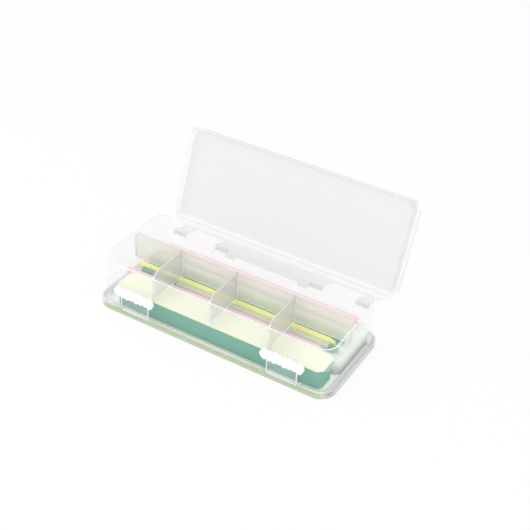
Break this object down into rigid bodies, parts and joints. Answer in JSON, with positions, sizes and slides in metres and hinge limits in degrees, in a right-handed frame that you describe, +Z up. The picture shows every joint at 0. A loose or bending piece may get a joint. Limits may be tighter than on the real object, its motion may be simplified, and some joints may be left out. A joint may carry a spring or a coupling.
{
  "type": "art supply box",
  "caption": "Clear two-deck pen and art supply box with a hinged lid above and below, a divided upper tray and snap latches at the front.",
  "frame": {"origin": "middle of the underside of the lower lid, on the ground", "axes": "+X along the length to the right, +Y to the rear where the hinges are, +Z up; the upper lid stands open"},
  "size_m": [0.2098, 0.1419, 0.1055],
  "materials": {
    "case_clear": "clear polypropylene",
    "lid_clear": "clear polypropylene",
    "divider_clear": "frosted polypropylene",
    "latch_clear": "clear polypropylene",
    "grip_white": "opaque white plastic",
    "pin_white": "natural plastic",
    "card_teal": "matt coloured card",
    "card_lime": "matt coloured card",
    "pad_green": "coloured paper pad",
    "pen_pink": "moulded plastic",
    "pen_green": "moulded plastic",
    "pen_dark_green": "moulded plastic",
    "pen_yellow": "moulded plastic",
    "pen_olive": "moulded plastic"
  },
  "bodies": {
    "case": {"case_shell": "case_clear", "long_divider": "divider_clear", "cross_divider_1": "divider_clear", "cross_divider_2": "divider_clear", "cross_divider_3": "divider_clear", "strap_pin_left": "pin_white", "strap_pin_right": "pin_white", "arm_pin_left": "pin_white", "arm_pin_right": "pin_white", "lower_pin_left": "pin_white", "lower_pin_right": "pin_white", "card_stack": "card_teal", "card_top": "card_lime", "card_bottom": "card_lime", "paper_pad": "pad_green", "pen_pink_front": "pen_pink", "pen_green": "pen_green", "pen_green_cap": "pen_dark_green", "pen_yellow": "pen_yellow", "pen_dark_green": "pen_dark_green", "pen_olive": "pen_olive", "pen_rose": "pen_pink", "pen_pink_rear": "pen_pink"},
    "upper_lid": {"upper_lid": "lid_clear"},
    "lower_lid": {"lower_lid": "lid_clear", "latch_pin_left": "pin_white", "latch_pin_right": "pin_white"},
    "latch_left": {"latch_left": "latch_clear", "latch_grip_left": "grip_white"},
    "latch_right": {"latch_right": "latch_clear", "latch_grip_right": "grip_white"}
  },
  "joints": [
    {"name": "upper_lid_hinge", "type": "hinge", "parent": "case", "child": "upper_lid", "pos_m": [0, 0.0463, 0.0246], "axis": [1, 0, 0], "range_deg": [0, 109]},
    {"name": "lower_lid_hinge", "type": "hinge", "parent": "case", "child": "lower_lid", "pos_m": [0, 0.0463, 0.0086], "axis": [1, 0, 0], "range_deg": [0, 109]},
    {"name": "latch_left_hinge", "type": "hinge", "parent": "lower_lid", "child": "latch_left", "pos_m": [-0.066, -0.0432, 0.0041], "axis": [1, 0, 0], "range_deg": [0, 90]},
    {"name": "latch_right_hinge", "type": "hinge", "parent": "lower_lid", "child": "latch_right", "pos_m": [0.066, -0.0432, 0.0041], "axis": [1, 0, 0], "range_deg": [0, 90]}
  ]
}
